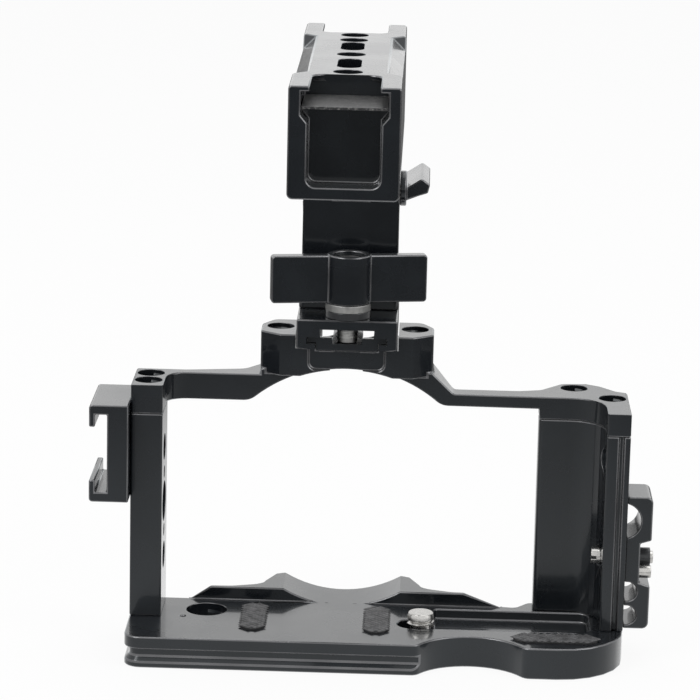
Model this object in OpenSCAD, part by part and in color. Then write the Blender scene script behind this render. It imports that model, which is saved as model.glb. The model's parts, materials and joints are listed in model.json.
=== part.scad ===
// Camera cage with a quick-release top handle.
// Origin: tripod socket, on the underside of the bottom plate, on the lens axis.
// X to the right seen from behind, Y towards the lens, Z up. Millimetres.

/* [Bottom plate] */
// plate reach to the left of the socket
plate_left = 50; // [44:0.5:56]
// plate reach to the right of the socket
plate_right = 67; // [60:0.5:74]
// half of the plate depth
plate_half = 15.5; // [13:0.5:20]
// plate thickness
plate_t = 7.5; // [6:0.5:10]
// height of the front lip over the underside
lip_top = 10.8; // [9:0.1:13]
// thickness of the front lip
lip_t = 0.8; // [0.6:0.1:2]
// reach of the tongue past the plate
tongue_reach = 12.3; // [8:0.1:16]
// radius of the finger scoop in the rear edge
scoop_r = 14; // [10:0.5:18]
// scoop centre, left to right
scoop_x = 31; // [26:0.5:36]
// wall between the scoop and the screw head channel
scoop_wall = 1.5; // [1:0.1:4]
// lens relief radius in the front lip
lens_cut_r = 28; // [24:1:32]

/* [Camera screw] */
// camera screw slot, left and right ends
slot_ends = [13.7, 59.2];
// slot centre line
slot_y = 0.5; // [-2:0.1:3]
// slot width
slot_w = 7; // [6.6:0.1:8]
// depth of the shallow channel over the slot
channel_depth = 2.4; // [1:0.1:3]
// camera screw position at rest
screw_x = 19.2; // [17.2:0.1:55.7]
// tip of the camera screw over the underside
screw_tip = 10.5; // [9:0.1:12]

/* [Side plates] */
// left plate thickness
left_t = 7.5; // [6:0.5:10]
// left plate rear and front faces
left_y = [0.5, 15.5];
// top of the left plate
left_top = 57; // [50:0.5:62]
// centre height of the hole row in the left plate
row_z = 34.1; // [30:0.1:38]
// locating holes above and below the row centre
locate_pitch = 7.1; // [6.5:0.1:8]
// outer threads above and below the row centre
thread_pitch = 13.3; // [12.5:0.1:15]
// right side wall thickness
right_t = 5.5; // [4:0.5:8]
// rear face of the right side wall
right_y = -1; // [-4:0.5:2]
// return wall, rear and front faces
return_y = [13.5, 19.5];
// left edge of the return wall
return_x = 46; // [42:0.5:50]
// top of the right plate
right_top = 55; // [50:0.5:60]

/* [Top frame] */
// top of the left block and left beam
left_block_top = 64; // [60:0.5:68]
// underside of the beams
beam_z = 57.5; // [54:0.5:60]
// top of the right beam and right block
right_block_top = 60.5; // [58:0.5:64]
// rear face of the beams
beam_y = 14; // [12:0.1:16]
// lens arch radius
arch_r = 34; // [30:0.5:38]
// crown of the lens arch over the underside
arch_top = 66.2; // [65:0.1:67]
// half width of the handle platform
platform_half = 20.5; // [18:0.5:24]
// platform rear face
platform_y = 11.4; // [10:0.1:13]
// platform base and top
platform_z = [64.4, 74.5];
// platform accessory threads, off the centre
platform_hole_x = 16; // [15.7:0.1:17]
// depth of the tapped holes in the blocks
block_hole = 5.5; // [4:0.1:6]

/* [Rail] */
// half width of the sunk trough
trough_half = 12.2; // [11.5:0.1:13]
// trough floor
trough_z = 71.2; // [70:0.1:72]
// half width of the rail neck
neck_half = 7.3; // [6.5:0.1:8]
// half width of the rail head
head_half = 9.3; // [8.5:0.1:10]
// rail head, underside and top
head_z = [72.8, 74.3];
// groove in the rail head for the jack screw
notch_half = 3.5; // [3:0.1:4]
// half width over the two light windows beside the groove
window_half = 6.3; // [5:0.1:6.5]

/* [Side shoe] */
// side shoe, bottom and top
shoe_z = [36.8, 60.2];
// side shoe, rear and front ends
shoe_y = [-5, 15.5];
// side shoe depth, away from the left plate
shoe_d = 9.2; // [8:0.1:11]
// shoe slot height
shoe_slot = 18.7; // [18.5:0.05:19]
// gap between the shoe lips
shoe_gap = 12.8; // [12:0.1:14]

/* [Cable clamp] */
// jaw, bottom and top
jaw_z = [7.9, 40.2];
// jaw, rear and front faces
jaw_y = [0.5, 12.5];
// jaw thickness
jaw_t = 6; // [5:0.5:8]
// large cable hole radius
cable_big_r = 4.25; // [3:0.25:5]
// small cable hole radius
cable_small_r = 2.3; // [1.5:0.1:3]

/* [Handle base] */
// handle foot half width
foot_half = 11.9; // [11:0.1:12]
// handle foot, rear and front ends
foot_y = [9.5, 37.5];
// handle foot, bottom and top
foot_z = [71.5, 78.6];
// knob axis in front of the socket
knob_y = 14.5; // [13:0.1:16]
// wing knob half span
wing_half = 18.5; // [15:0.1:20]
// wing thickness
wing_t = 3; // [2:0.1:4]
// wing knob, bottom of hub and top
knob_z = [82, 93.7];
// turn of the wings away from the rear face
wing_turn = 10; // [0:1:20]
// post half width
post_half = 11.4; // [10:0.1:12]
// post, rear and front faces
post_y = [22, 36];
// tilt pin height
tilt_z = 107; // [104:0.5:110]

/* [Handle bar] */
// bar half width
bar_half = 12; // [10:0.5:15]
// bar underside over the tilt pin
bar_rise = 12.9; // [12:0.1:16]
// bar height
bar_h = 24.4; // [22:0.1:28]
// bar, rear and front ends
bar_y = [-57.2, 42];
// end of the rear housing
rear_house = -39.5; // [-42:0.5:-36]
// start of the front housing
front_house = 19.7; // [18:0.1:22]
// chamfer on the bar between the housings
grip_cham = 3.25; // [2:0.05:4]
// length of the rear and front shoe slots
bar_shoe_l = [17.5, 15.8];
// depth of the end pockets
pocket_d = 6.6; // [4:0.1:8]
// thickness of the shoe liners
liner_t = 0.6; // [0.3:0.1:1]
// tapped holes along the bar, off the socket
bar_holes = [22.5, 14.1, -9, -35.6];

/* [Hidden] */
$fn = 48;
e = 0.01;
r14 = 3.25;          // quarter inch thread, drawn as a clear bore
r38 = 4.85;          // three eighths thread, drawn as a clear bore
left_in = -plate_left + left_t;
right_in = plate_right - right_t;
left_mid = (left_y[0] + left_y[1]) / 2;
shoe_x = -plate_left - shoe_d;
shoe_mid = (shoe_z[0] + shoe_z[1]) / 2;
shoe_floor = -plate_left - 5;
lip_in = shoe_x + 1.4;
lip_y = plate_half - lip_t;
tongue_y = plate_half + tongue_reach;
arch_z = arch_top - arch_r;
pad_bottom = plate_t - 0.8;
pad_top = plate_t + 0.4;
tilt_y = (post_y[0] + post_y[1]) / 2;
bar_z = [tilt_z + bar_rise, tilt_z + bar_rise + bar_h];
bar_shoe_floor = bar_z[1] - 4.4;
bar_lip = bar_z[1] - 1.2;
head_r = 6.6;
jack_r = 2.4;
post_web = 2;        // rear wall of the post under the lug
shoe_half = shoe_slot / 2;
bar_hole_d = [9, 9.4, 8.6, 9.8];

// ---- helpers ----

// one corner of an outline, rounded by r
function turn(a, b, c, r) = r <= 0 ? [b] :
  let(u = (a - b) / norm(a - b), v = (c - b) / norm(c - b),
      h = acos(u * v) / 2, m = b + (u + v) / norm(u + v) * r / sin(h),
      p = b + u * r / tan(h) - m, q = b + v * r / tan(h) - m,
      a0 = atan2(p[1], p[0]), d = atan2(q[1], q[0]) - a0,
      s = d > 180 ? d - 360 : d < -180 ? d + 360 : d,
      n = max(2, ceil(abs(s) / 15)))
  [for (i = [0:n]) m + r * [cos(a0 + s * i / n), sin(a0 + s * i / n)]];

// closed outline from corners given as [x, y, radius]
function rounded(p) = let(n = len(p)) [for (i = [0:n - 1])
  each turn([p[(i + n - 1) % n][0], p[(i + n - 1) % n][1]], [p[i][0], p[i][1]],
            [p[(i + 1) % n][0], p[(i + 1) % n][1]], p[i][2])];

module plan(pts, z0, z1) translate([0, 0, z0]) linear_extrude(z1 - z0) polygon(rounded(pts));
// outline in X and Z, swept along Y
module front(pts, y0, y1) translate([0, y1, 0]) rotate([90, 0, 0])
  linear_extrude(y1 - y0) polygon(rounded(pts));
module along_x(x0, x1, r) translate([x0, 0, 0]) rotate([0, 90, 0]) cylinder(h = x1 - x0, r = r);
module along_y(y0, y1, r) translate([0, y1, 0]) rotate([90, 0, 0]) cylinder(h = y1 - y0, r = r);
module box(a, b) translate(a) cube(b - a);
module stadium(x0, x1, y0, y1, z0, z1) {
  w = min(x1 - x0, y1 - y0) / 2;
  plan([[x0, y0, w - e], [x1, y0, w - e], [x1, y1, w - e], [x0, y1, w - e]], z0, z1);
}
// socket head screw along +Z, head under z = 0
module socket_screw(r, l, hr, hh) difference() {
  union() { translate([0, 0, -hh / 3]) cylinder(h = l + hh / 3, r = r, $fn = 32); translate([0, 0, -hh]) cylinder(h = hh, r = hr, $fn = 32); }
  translate([0, 0, -hh - e]) cylinder(h = hh * 0.6, r = r * 0.75, $fn = 6);
}

// ---- bottom plate ----

scoop_y = slot_y - head_r - 0.3 - scoop_wall - scoop_r;
blend = 2.5;
blend_dy = -plate_half + blend - scoop_y;
blend_dx = sqrt(pow(scoop_r + blend, 2) - blend_dy * blend_dy);
scoop_a = atan2(blend_dy, blend_dx);

function arc(c, r, a0, a1, n) = [for (i = [0:n]) c + r * [cos(a0 + (a1 - a0) * i / n), sin(a0 + (a1 - a0) * i / n)]];

plate_outline = concat(
  turn([-plate_left, 15], [-plate_left, -plate_half], [0, -plate_half], 4),
  arc([scoop_x - blend_dx, -plate_half + blend], blend, -90, -scoop_a, 4),
  arc([scoop_x, scoop_y], scoop_r, 180 - scoop_a, scoop_a, 16),
  arc([scoop_x + blend_dx, -plate_half + blend], blend, 180 + scoop_a, 270, 4),
  turn([60, -plate_half], [plate_right, -plate_half], [plate_right, 5], 16),
  turn([plate_right, 0], [plate_right, return_y[1]], [50, return_y[1]], 3),
  turn([60, return_y[1]], [return_x - 1, return_y[1]], [return_x - 4, plate_half], 2),
  turn([return_x - 1, return_y[1]], [return_x - 4, plate_half], [30, plate_half], 2),
  turn([0, plate_half], [-plate_left, plate_half], [-plate_left, 0], 1));

// groove section: depth in from the face, height
groove = [[-1, 1.3], [0, 1.4], [1.2, 2.6], [1.2, 4.5], [-1, 4.5]];

module edge_groove() {
  c = 4;
  x = scoop_x - blend_dx + blend;
  translate([x, -plate_half, 0]) rotate([90, 0, -90]) linear_extrude(x + plate_left - c)
    polygon([for (p = groove) [-p[0], p[1]]]);
  translate([-plate_left + c, -plate_half + c, 0]) rotate([0, 0, 180]) rotate_extrude(angle = 90, $fn = 64)
    polygon([for (p = groove) [c - p[0], p[1]]]);
  translate([-plate_left, -plate_half + c, 0]) rotate([90, 0, 180]) linear_extrude(plate_half * 2)
    polygon([for (p = groove) [-p[0], p[1]]]);
}

module front_lip() intersection() {
  front([[-36.5, 0, 0], [39, 0, 0], [38.6, plate_t - 0.1, 0.5], [29.4, lip_top, 1], [-31.6, lip_top, 1], [-36.5, plate_t, 0.5]],
        lip_y - 0.5, tongue_y + 1);
  plan([[-36.6, lip_y, 0], [39, lip_y, 0], [39, plate_half, 0], [26.5, plate_half + 0.5, 6], [19.5, 18.3, 5],
        [15.8, tongue_y, 3], [-15.8, tongue_y, 3], [-19.5, 18.3, 5], [-26.5, plate_half + 0.5, 6], [-36.6, plate_half, 0]], 0, 20);
}

module bottom_plate() color([0.09, 0.09, 0.1]) difference() {
  union() {
    difference() {
      linear_extrude(plate_t) polygon(plate_outline);
      edge_groove();
    }
    front_lip();
  }
  // lens relief
  translate([0, 0, lens_cut_r + 7]) along_y(lip_y - e, tongue_y + 1, lens_cut_r, $fn = 120);
  // tripod socket and second thread
  translate([0, 0, -e]) cylinder(h = 6 + e, r = r14);
  translate([-32, 7, -e]) cylinder(h = plate_t + 1, r = r38);
  // dowel hole
  translate([-37.3, 1.4, 4]) cylinder(h = 5, r = 0.6, $fn = 16);
  // camera screw slot, upper channel, lower channel
  stadium(slot_ends[0], slot_ends[1], slot_y - slot_w / 2, slot_y + slot_w / 2, -1, 9);
  plan([[22.4, -3, 1], [slot_ends[1], -3, 3.4], [slot_ends[1], 12.3, 2.2], [22.4, 12.3, 1]], plate_t - channel_depth, 9);
  stadium(screw_x - 2 - head_r - 0.3, slot_ends[1] - slot_w / 2 + head_r + 0.3, slot_y - head_r - 0.3, slot_y + head_r + 0.3, -1, 3.4);
  // pad pockets
  pad_plan(0, -0.05, pad_bottom);
  pad_plan(1, -0.05, pad_bottom);
  pad_plan(2, -0.05, pad_bottom);
  // fixing screws of the side plates, from below
  for (p = base_left) translate([p[0], p[1], 0]) base_hole();
  for (p = base_right) translate([p[0], p[1], 0]) base_hole();
}

base_left = [[left_in - left_t / 2, 4], [left_in - left_t / 2, 12]];
base_right = [[right_in + right_t / 2, 9.5], [50, 16.5], [59, 16.5]];
module base_hole() {
  translate([0, 0, -e]) cylinder(h = plate_t + 1, r = 1.6, $fn = 32);
  translate([0, 0, -e]) cylinder(h = 3.2 + 2 * e, r = 2.7, $fn = 32);
}
module base_screw() translate([0, 0, 3.2]) socket_screw(1.5, 11, 2.5, 2.8);

module left_base_screws() color([0.12, 0.12, 0.12]) for (p = base_left) translate([p[0], p[1], 0]) base_screw();
module right_base_screws() color([0.12, 0.12, 0.12]) for (p = base_right) translate([p[0], p[1], 0]) base_screw();

// ---- rubber pads ----

pads = [[-23.2, -17.7, -plate_half + 7.5, plate_half - 4], [6, 11.5, -plate_half + 7.5, plate_half - 4],
  [41, 60.8, -plate_half + 4, -plate_half + 10.2]];
module pad_plan(i, grow, z0, z1 = 20) stadium(pads[i][0] + grow, pads[i][1] - grow, pads[i][2] + grow, pads[i][3] - grow, z0, z1);
module grip_pad_left() color([0.05, 0.05, 0.05]) pad_plan(0, 0, pad_bottom, pad_top);
module grip_pad_middle() color([0.05, 0.05, 0.05]) pad_plan(1, 0, pad_bottom, pad_top);
module grip_pad_right() color([0.05, 0.05, 0.05]) pad_plan(2, 0, pad_bottom, pad_top);

// ---- left side plate ----

tenon_left_z = 51.2;
shoe_up_z = shoe_mid + 4.3;
shoe_low_z = shoe_mid - 4.1;
shoe_screw_y = [3.2, 12.2];

module left_side_plate() color([0.09, 0.09, 0.1]) difference() {
  plan([[-plate_left, left_y[0], 0.6], [left_in, left_y[0], 0.6], [left_in, left_y[1], 0.6], [-plate_left, left_y[1], 0.6]], plate_t, left_top);
  for (s = [-1, 1]) translate([0, left_mid - 0.5, row_z + s * thread_pitch]) along_x(-plate_left - 1, left_in + 1, r14);
  for (s = [-1, 1]) translate([0, left_mid - 0.5, row_z + s * locate_pitch]) along_x(-plate_left - 1, left_in + 1, 1.6);
  translate([0, left_mid - 0.5, row_z]) along_x(-plate_left + 1.2, left_in + 1, r38);
  // pocket for the top frame tenon
  box([-48.3, left_y[0] + 1, tenon_left_z - 0.1], [-44.2, left_y[1] - 1, left_top + 1]);
  for (y = shoe_screw_y) {
    translate([0, y, shoe_up_z]) along_x(-plate_left - 1, -43.4, 1.3, $fn = 32);
    translate([0, y, shoe_low_z]) along_x(-plate_left - 1, -43.4, 1.3, $fn = 32);
  }
  for (p = base_left) translate([p[0], p[1], plate_t - 1]) cylinder(h = 8, r = 1.55, $fn = 32);
}

// ---- right side plate ----

clamp_axis = [7.5, 23.6];
guide_axes = [[3.5, 21.2], [9.5, 28]];
right_screw_z = right_top - 3;

module right_side_plate() color([0.09, 0.09, 0.1]) difference() {
  plan([[right_in, right_y, 0.5], [plate_right, right_y, 0.5], [plate_right, return_y[1], 3], [return_x, return_y[1], 1],
        [return_x, return_y[0], 1.2], [right_in, return_y[0], 8]], plate_t, right_top);
  box([plate_right - 2.7, right_y - 1, plate_t - 1], [plate_right - 1.5, right_y + 1, right_top + 1]);
  translate([0, 5.5, 47.4]) along_x(right_in - 1, plate_right + 1, r14);
  translate([0, clamp_axis[0], clamp_axis[1]]) along_x(right_in - 1, plate_right + 1, 1.55, $fn = 32);
  translate([0, clamp_axis[0], clamp_axis[1]]) along_x(right_in - 3, right_in, 2.4, $fn = 32);
  for (g = guide_axes) translate([0, g[0], g[1]]) along_x(right_in + 1.5, plate_right + 1, 1.5, $fn = 32);
  // pocket for the top frame tenon
  box([49.9, 14.9, right_top - 6.1], [58.1, 18.1, right_top + 1]);
  translate([54, 0, right_screw_z]) along_y(15, return_y[1] + 1, 1.6, $fn = 32);
  translate([54, 0, right_screw_z]) along_y(return_y[1] - 1, return_y[1] + 1, 2.7, $fn = 32);
  for (p = base_right) translate([p[0], p[1], plate_t - 1]) cylinder(h = 8, r = 1.55, $fn = 32);
}

module right_top_screw() color([0.12, 0.12, 0.12])
  translate([54, return_y[1] - 1, right_screw_z]) rotate([90, 0, 0]) intersection() {
    socket_screw(1.45, 3.4, 2.5, 0.95);
    translate([0, 0, -2]) cylinder(h = 8, r = 3);
  }

// ---- top frame ----

module beams() difference() {
  intersection() {
    front([[-plate_left, left_top, 0], [left_in, left_top, 0], [left_in, beam_z, 0], [right_in - 15.5, beam_z, 0],
           [return_x, right_top, 0], [plate_right, right_top, 0], [plate_right, right_block_top, 0.4], [25.5, right_block_top, 1.5],
           [21, 64.8, 1], [20.4, platform_z[0] + 1, 0], [-20.4, platform_z[0] + 1, 0], [-20.4, left_block_top, 0],
           [-plate_left, left_block_top, 0.4]], -2, 30);
    plan([[-plate_left, left_y[0], 0.6], [left_in, left_y[0], 0.6], [left_in, beam_y, 5], [20, beam_y, 0], [return_x, beam_y - 0.5, 1],
          [right_in, return_y[0], 8], [right_in, right_y, 0.5], [plate_right, right_y, 0.5], [plate_right, 19.7, 1],
          [64.3, 21, 1], [60.7, 25.6, 3], [57.1, 27.8, 3], [51.5, 27.2, 2], [46.3, 20.6, 2], [41, 19, 5], [26, 19, 2],
          [20.5, 25.5, 2], [-20.5, 25.5, 2], [-24.5, 19.6, 3], [-38, 17, 8], [left_in, 16.8, 0], [-plate_left, 16.8, 0.6]], 50, 70);
  }
  // lens arch
  translate([0, 0, arch_z]) along_y(0, 30, arch_r, $fn = 144);
  arch_blend();
  mirror([1, 0, 0]) arch_blend();
}

// rounds the corner between the arch and the beam underside
blend_arch = 4.5;
blend_c = [sqrt(pow(arch_r + blend_arch, 2) - pow(beam_z + blend_arch - arch_z, 2)), beam_z + blend_arch];
module arch_blend() difference() {
  box([18, 0, beam_z - 1], [blend_c[0], 30, blend_c[1]]);
  translate([blend_c[0], 0, blend_c[1]]) along_y(-1, 31, blend_arch);
  front([[10, blend_c[1] + 1, 0], [blend_c[0], blend_c[1], 0],
    [arch_r * blend_c[0] / (arch_r + blend_arch), arch_z + arch_r * (blend_c[1] - arch_z) / (arch_r + blend_arch), 0], [10, 50, 0]], -2, 32);
}

module platform() difference() {
  plan([[-15.8, platform_y, 0.4], [15.8, platform_y, 0.4], [platform_half, 15, 1.5], [platform_half, 22.4, 3], [17.8, 27.6, 2.5],
        [-17.8, 27.6, 2.5], [-platform_half, 22.4, 3], [-platform_half, 15, 1.5]], platform_z[0], platform_z[1]);
  box([-trough_half, 0, trough_z], [trough_half, 40, 80]);
  front([[-9, 66, 1.8], [9, 66, 1.8], [9, trough_z + 1, 0], [-9, trough_z + 1, 0]], platform_y - 1, platform_y + 1);
  for (s = [-1, 1]) translate([s * platform_hole_x, 20.4, platform_z[1] - 7]) cylinder(h = 10, r = r14);
}

module rail() difference() {
  union() {
    box([-neck_half, platform_y, trough_z - 0.5], [neck_half, 27.6, head_z[0] + e]);
    box([-head_half, platform_y, head_z[0]], [head_half, 27.6, head_z[1]]);
  }
  box([-notch_half, 0, 72.5], [notch_half, 40, 80]);
  box([-window_half, 0, head_z[1] - 0.5], [window_half, platform_y + 1, 80]);
}

module top_frame() color([0.09, 0.09, 0.1]) difference() {
  union() {
    beams();
    difference() {
      platform();
      translate([0, 0, arch_z]) along_y(0, 30, arch_r, $fn = 144);
    }
    rail();
    // tenons into the side plates
    box([-48.2, left_y[0] + 1.1, tenon_left_z], [-44.3, left_y[1] - 1.1, left_top + 1]);
    box([50, 15, right_top - 6], [58, 18, right_top + 1]);
  }
  for (y = [5.8, 12.7]) translate([-plate_left + 3.75, y, left_block_top - block_hole]) cylinder(h = 10, r = r14);
  translate([54.45, 23.3, 50]) cylinder(h = 15, r = r14);
  translate([plate_right - 3.8, 14.2, right_block_top - block_hole]) cylinder(h = 10, r = r14);
  for (y = shoe_screw_y) translate([0, y, shoe_up_z]) along_x(-plate_left, -43, 1.3, $fn = 32);
  // light windows beside the jack screw groove
  for (s = [-1, 1]) translate([s * (notch_half + window_half) / 2, 0, 0])
    box([-(window_half - notch_half) / 2, platform_y + 1, 70.6], [(window_half - notch_half) / 2, 40, 80]);
  translate([54, 0, right_screw_z]) along_y(14, 20, 1.5, $fn = 32);
}

// ---- side shoe ----

module side_shoe() color([0.09, 0.09, 0.1]) difference() {
  front([[-plate_left, shoe_z[0], 0], [-plate_left, shoe_z[1], 0], [shoe_x, shoe_z[1], 0.8], [shoe_x, shoe_z[0], 0.8]], shoe_y[0], shoe_y[1]);
  box([lip_in, shoe_y[0] - 1, shoe_mid - shoe_slot / 2], [shoe_floor, shoe_y[1] + 1, shoe_mid + shoe_slot / 2]);
  box([shoe_x - 1, shoe_y[0] - 1, shoe_mid - shoe_gap / 2], [lip_in + 1, shoe_y[1] + 1, shoe_mid + shoe_gap / 2]);
  for (y = shoe_screw_y, z = [shoe_up_z, shoe_low_z]) translate([0, y, z]) {
    along_x(shoe_x - 1, -plate_left + 1, 1.3, $fn = 32);
    along_x(shoe_x - 1, shoe_floor + 2.2, 2.05, $fn = 32);
  }
}
module shoe_screw(y, z, l) translate([shoe_floor + 2.2, y, z]) rotate([0, 90, 0]) socket_screw(1.25, l, 2, 2);
module shoe_screws_upper() color([0.2, 0.2, 0.2]) for (y = shoe_screw_y) shoe_screw(y, shoe_up_z, 8.4);
module shoe_screws_lower() color([0.2, 0.2, 0.2]) for (y = shoe_screw_y) shoe_screw(y, shoe_low_z, 8.4);

// ---- camera screw ----

module slot_washer() color([0.75, 0.75, 0.77]) translate([screw_x, slot_y, 3.05]) difference() {
  cylinder(h = 0.35, r = head_r);
  translate([0, 0, -1]) cylinder(h = 3, r = 3.24);
}

ring_r = 5;
neck_r = 2.6;        // plain neck that keeps the screw in its slot
module camera_screw() color([0.75, 0.75, 0.77]) translate([screw_x, slot_y, 0]) difference() {
  union() {
    translate([0, 0, 0.2]) cylinder(h = 2.85, r = head_r);
    cylinder(h = screw_tip - 1, r = neck_r);
    translate([0, 0, plate_t + 0.1]) cylinder(h = screw_tip - 0.9 - plate_t - 0.1, r = 3.175);
    translate([0, 0, screw_tip - 0.9]) cylinder(h = 0.9, r1 = 3.175, r2 = 2.875);
  }
  // recess that takes the folded ring
  translate([0, 0, -1]) difference() {
    cylinder(h = 2.9, r = 5.9);
    box([-2, -2.6, 0], [2, 1.6, 3]);
  }
  translate([0, 0, -1]) cylinder(h = 1.25, r = 7);
  translate([0, 0, 1.2]) along_x(-8, 8, 0.56, $fn = 24);
}
module screw_ring() color([0.75, 0.75, 0.77]) translate([screw_x, slot_y, 1.2]) {
  along_x(-ring_r, ring_r, 0.5, $fn = 24);
  rotate_extrude(angle = 180, $fn = 48) translate([ring_r, 0]) circle(r = 0.5, $fn = 16);
}

// ---- cable clamp ----

notch_x = plate_right + 3.4;  // floor of the outer notch
module clamp_jaw() color([0.09, 0.09, 0.1]) difference() {
  front([[plate_right, jaw_z[0], 0.5], [plate_right + jaw_t, jaw_z[0], 1.5], [plate_right + jaw_t, jaw_z[1], 1.5], [plate_right, jaw_z[1], 0.5]], jaw_y[0], jaw_y[1]);
  translate([plate_right - 0.9, 0, 34.25]) along_y(-1, 20, cable_big_r);
  for (z = [17, 11.2]) translate([plate_right + 0.7, 0, z]) along_y(-1, 20, cable_small_r);
  for (z = [17, 11.2]) box([plate_right - 1, -1, z - cable_small_r], [plate_right + 0.7, 20, z + cable_small_r]);
  // outer notch with sloping ends
  front([[notch_x, 19.2, 0], [plate_right + jaw_t + e, 18.4, 0], [plate_right + jaw_t + 1, 18.4, 0], [plate_right + jaw_t + 1, 29.6, 0],
         [plate_right + jaw_t + e, 29.6, 0], [notch_x, 28.8, 0]], -1, 20);
  translate([0, clamp_axis[0], clamp_axis[1]]) along_x(60, 80, 1.55, $fn = 32);
  translate([0, guide_axes[0][0], guide_axes[0][1]]) along_x(60, 80, 1.54, $fn = 32);
  translate([0, guide_axes[1][0], guide_axes[1][1]]) along_x(60, notch_x - 0.5, 1.54, $fn = 32);
}
// slotted head inside the cage, threaded end in the nut
module clamp_screw() color([0.75, 0.75, 0.77]) translate([right_in, clamp_axis[0], clamp_axis[1]]) difference() {
  union() {
    along_x(-1, notch_x - right_in + 3.5, 1.5, $fn = 32);
    along_x(-2.3, 0, 2, $fn = 32);
  }
  box([-3, -3, -0.35], [-1, 3, 0.35]);
}
module clamp_nut() color([0.15, 0.15, 0.15]) translate([0, clamp_axis[0], clamp_axis[1]]) difference() {
  along_x(notch_x, notch_x + 2.8, 2.3);
  along_x(notch_x - 1, notch_x + 4, 1.55, $fn = 32);
}
module clamp_guide_pins() color([0.75, 0.75, 0.77]) {
  translate([0, guide_axes[0][0], guide_axes[0][1]]) along_x(right_in + 1.6, plate_right + jaw_t + 0.3, 1.5, $fn = 32);
  translate([0, guide_axes[1][0], guide_axes[1][1]]) along_x(right_in + 1.6, notch_x - 0.9, 1.5, $fn = 32);
}

// ---- handle base ----

module handle_foot() color([0.09, 0.09, 0.1]) difference() {
  front([[-foot_half, foot_z[0], 0.5], [foot_half, foot_z[0], 0.5], [foot_half, foot_z[1], 0.4], [-foot_half, foot_z[1], 0.4]], foot_y[0], foot_y[1]);
  box([-neck_half - 0.2, 0, 70], [neck_half + 0.2, 50, 73]);
  box([-head_half - 0.2, 0, head_z[0] - 0.1], [head_half + 0.2, 50, head_z[1] + 0.15]);
  box([-6.4, 0, 72], [6.4, 50, 76.3]);
  translate([0, knob_y, 70]) cylinder(h = 12, r = jack_r + 0.06);
  for (y = foot_bolt_y) translate([0, y, 70]) cylinder(h = 12, r = 2.1, $fn = 32);
}
foot_bolt_y = [25.5, 32.5];
module foot_bolts() color([0.2, 0.2, 0.2]) for (y = foot_bolt_y) translate([0, y, 76.3]) socket_screw(2, 12, 3.4, 1.6);

module handle_post() color([0.09, 0.09, 0.1]) difference() {
  union() {
    plan([[-post_half, post_y[0], 0.6], [post_half, post_y[0], 0.6], [post_half, post_y[1], 0.6], [-post_half, post_y[1], 0.6]], foot_z[1], tilt_z);
    front([[-foot_half, foot_z[1], 0], [foot_half, foot_z[1], 0], [foot_half, foot_z[1] + 1.2, 0.5], [post_half - e, foot_z[1] + 3.4, 0],
           [-post_half + e, foot_z[1] + 3.4, 0], [-foot_half, foot_z[1] + 1.2, 0.5]], post_y[0] + 0.3, post_y[1] - 0.3);
    translate([0, tilt_y, tilt_z]) along_x(-post_half, post_half, (post_y[1] - post_y[0]) / 2, $fn = 64);
  }
  box([-4.2, post_y[0] + post_web, tilt_z - 6], [4.2, post_y[1] + 1, tilt_z + 10]);
  box([-4.2, post_y[0] - 1, tilt_z - 2], [4.2, post_y[1] + 1, tilt_z + 10]);
  translate([0, tilt_y, tilt_z]) along_x(-20, 20, 2.54);
  translate([0, tilt_y, tilt_z]) along_x(-20, -post_half + 2, 4.6);
  for (y = foot_bolt_y) translate([0, y, 78]) cylinder(h = 11, r = 2.05, $fn = 32);
}

module tilt_pin() color([0.6, 0.6, 0.62]) translate([0, tilt_y, tilt_z]) difference() {
  union() { along_x(-post_half, post_half + 1.45, 2.5); along_x(-post_half + 0.2, -post_half + 1.95, 4.4); }
  along_x(-post_half - 1, -post_half + 1.5, 1.5, $fn = 6);
}

// blade of the lever: out from the post, up from the pin, corner radius
lever_blade = [[0.2, -2.4, 0.3], [2, -2.05, 0.3], [6.7, -0.5, 0.6], [7.2, 1.6, 0.6], [5.2, 3, 0.8], [1.8, 0.8, 0.4], [0.2, 0.2, 0.1]];
module clamp_lever() color([0.09, 0.09, 0.1]) difference() {
  union() {
    translate([0, tilt_y, tilt_z]) along_x(post_half + 0.1, post_half + 1.6, 4.2);
    front([for (p = lever_blade) [post_half + p[0], tilt_z + p[1], p[2]]], tilt_y - 3.5, tilt_y + 19);
  }
  translate([0, tilt_y, tilt_z]) along_x(10, post_half + 1.55, 2.56);
}

// ---- knob ----

module knob_washer() color([0.12, 0.12, 0.12]) translate([0, knob_y, foot_z[1]]) difference() {
  cylinder(h = 1.7, r = 5.35);
  translate([0, 0, -1]) cylinder(h = 5, r = jack_r + 0.1);
}
module lock_ring() color([0.78, 0.78, 0.8]) translate([0, knob_y, foot_z[1] + 1.7]) difference() {
  cylinder(h = 1.7, r = 5.35);
  translate([0, 0, -1]) cylinder(h = 5, r = jack_r + 0.05);
}
module wing_knob() color([0.09, 0.09, 0.1]) translate([0, knob_y, 0]) rotate([0, 0, wing_turn]) difference() {
  union() {
    translate([0, 0, knob_z[0]]) cylinder(h = knob_z[1] - knob_z[0], r = 5.1);
    front([[-wing_half, knob_z[0] + 0.2, 0.8], [wing_half, knob_z[0] + 0.2, 0.8], [wing_half, knob_z[1] - 0.2, 0.8],
           [-wing_half, knob_z[1] - 0.2, 0.8]], -wing_t / 2, wing_t / 2);
  }
  translate([0, 0, knob_z[0] - 1]) cylinder(h = 20, r = jack_r + 0.05);
  translate([0, 0, knob_z[1] - 5.7]) cylinder(h = 20, r = 3.7);
}
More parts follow.
